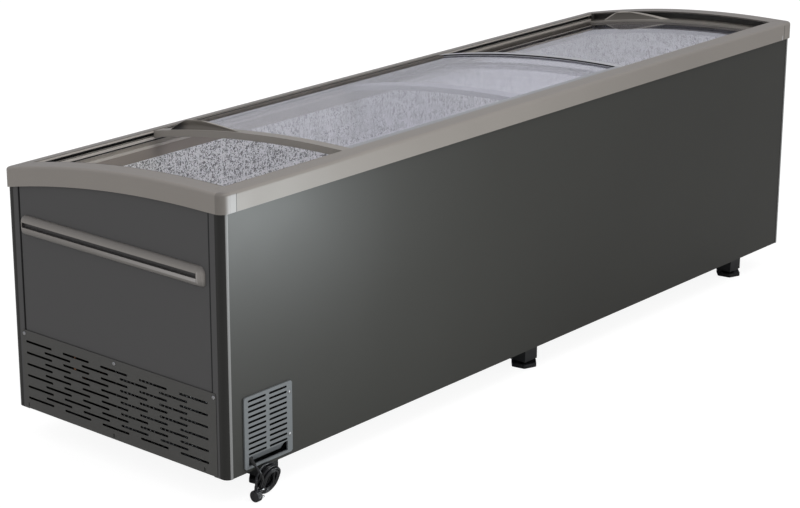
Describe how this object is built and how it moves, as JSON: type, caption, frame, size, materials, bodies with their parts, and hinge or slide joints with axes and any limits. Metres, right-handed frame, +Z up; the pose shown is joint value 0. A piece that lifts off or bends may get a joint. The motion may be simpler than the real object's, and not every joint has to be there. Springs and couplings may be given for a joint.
{
  "type": "island display freezer",
  "caption": "Long island display freezer with an arched rim, sliding curved glass lids with wing handles, an end grille, a stepped metal tank, levelling feet and a coiled mains cord.",
  "frame": {"origin": "on the floor, under the middle of the cabinet", "axes": "+X along the cabinet towards the service end with the grille, +Y towards the high back side with the vent and the cord, +Z up"},
  "size_m": [2.509, 0.7973, 0.789],
  "materials": {
    "rim_plastic": "satin grey extrusion",
    "post_plastic": "satin dark grey",
    "end_panel_paint": "matt dark grey",
    "side_panel_paint": "satin dark olive grey",
    "grille_paint": "matt dark grey",
    "vent_plastic": "matt blue grey",
    "grip_plastic": "satin taupe grey",
    "handle_plastic": "satin taupe",
    "lid_plastic": "satin grey",
    "pale_plastic": "satin pale grey",
    "breaker_plastic": "satin taupe brown",
    "lid_glass": "clear with a faint lilac tint",
    "seal_rubber": "black wiper",
    "liner_metal": "stucco-embossed sheet",
    "foam": "rigid cream foam",
    "galvanised": "galvanised sheet",
    "foot_plastic": "matt black",
    "nut_steel": "zinc plated",
    "screw_steel": "zinc plated",
    "black_paint": "gloss black",
    "black_rubber": "matt black",
    "fin_aluminium": "bare fins",
    "fan_plastic": "matt black",
    "tube_copper": "bare copper",
    "box_plastic": "matt grey",
    "cord_rubber": "matt black sheath"
  },
  "bodies": {
    "cabinet": {"back_panel": "side_panel_paint", "front_panel": "side_panel_paint", "corner_post_service_back": "post_plastic", "corner_post_service_front": "post_plastic", "corner_post_far_back": "post_plastic", "corner_post_far_front": "post_plastic", "service_end_panel": "end_panel_paint", "far_end_panel": "end_panel_paint", "service_grille": "grille_paint", "cover_screws": "screw_steel", "service_end_grip": "grip_plastic", "far_end_grip": "grip_plastic", "vent_cover": "vent_plastic", "foot_channel_service": "black_paint", "foot_channel_middle": "black_paint", "foot_channel_far": "black_paint", "foot_nuts": "nut_steel", "base_tray": "galvanised", "inner_liner": "liner_metal", "foam_insulation": "foam", "breaker_strips": "breaker_plastic", "back_rail": "rim_plastic", "front_rail": "rim_plastic", "service_end_frame": "rim_plastic", "far_end_frame": "rim_plastic", "machine_bulkhead": "galvanised", "compressor": "black_paint", "compressor_grommets": "black_rubber", "condenser": "fin_aluminium", "fan_bracket": "galvanised", "fan_motor": "black_paint", "filter_drier": "tube_copper", "refrigerant_tubes": "tube_copper", "evaporator_tube": "tube_copper", "control_box": "box_plastic", "cord_gland": "cord_rubber", "cord_lead": "cord_rubber", "cord_hank": "cord_rubber", "cord_tail": "cord_rubber", "plug": "cord_rubber"},
    "upper_lid": {"upper_glass": "lid_glass", "upper_front_runner": "lid_plastic", "upper_back_runner": "lid_plastic", "upper_end_bar": "handle_plastic", "upper_handle": "handle_plastic", "upper_tail_bar": "pale_plastic", "upper_tail_seal": "seal_rubber"},
    "lower_lid": {"lower_glass": "lid_glass", "lower_front_runner": "lid_plastic", "lower_back_runner": "lid_plastic", "lower_end_bar": "handle_plastic", "lower_handle": "handle_plastic", "lower_tail_bar": "pale_plastic"},
    "fan": {"fan_blade": "fan_plastic"},
    "levelling_foot_service_back": {"foot_service_back": "foot_plastic"},
    "levelling_foot_service_front": {"foot_service_front": "foot_plastic"},
    "levelling_foot_middle_back": {"foot_middle_back": "foot_plastic"},
    "levelling_foot_middle_front": {"foot_middle_front": "foot_plastic"},
    "levelling_foot_far_back": {"foot_far_back": "foot_plastic"},
    "levelling_foot_far_front": {"foot_far_front": "foot_plastic"}
  },
  "joints": [
    {"name": "upper_lid_slide", "type": "slide", "parent": "cabinet", "child": "upper_lid", "axis": [1, 0, 0], "range_m": [-0.148, 0.412]},
    {"name": "lower_lid_slide", "type": "slide", "parent": "cabinet", "child": "lower_lid", "axis": [1, 0, 0], "range_m": [0, 0.56]},
    {"name": "fan_spin", "type": "hinge", "parent": "cabinet", "child": "fan", "pos_m": [1.163, 0.15, 0.1765], "axis": [1, 0, 0], "continuous": true},
    {"name": "foot_service_back_turn", "type": "hinge", "parent": "cabinet", "child": "levelling_foot_service_back", "pos_m": [1.057, 0.316, 0.03], "axis": [0, 0, 1], "continuous": true},
    {"name": "foot_service_front_turn", "type": "hinge", "parent": "cabinet", "child": "levelling_foot_service_front", "pos_m": [1.057, -0.316, 0.03], "axis": [0, 0, 1], "continuous": true},
    {"name": "foot_middle_back_turn", "type": "hinge", "parent": "cabinet", "child": "levelling_foot_middle_back", "pos_m": [0, 0.316, 0.03], "axis": [0, 0, 1], "continuous": true},
    {"name": "foot_middle_front_turn", "type": "hinge", "parent": "cabinet", "child": "levelling_foot_middle_front", "pos_m": [0, -0.316, 0.03], "axis": [0, 0, 1], "continuous": true},
    {"name": "foot_far_back_turn", "type": "hinge", "parent": "cabinet", "child": "levelling_foot_far_back", "pos_m": [-1.057, 0.316, 0.03], "axis": [0, 0, 1], "continuous": true},
    {"name": "foot_far_front_turn", "type": "hinge", "parent": "cabinet", "child": "levelling_foot_far_front", "pos_m": [-1.057, -0.316, 0.03], "axis": [0, 0, 1], "continuous": true}
  ]
}
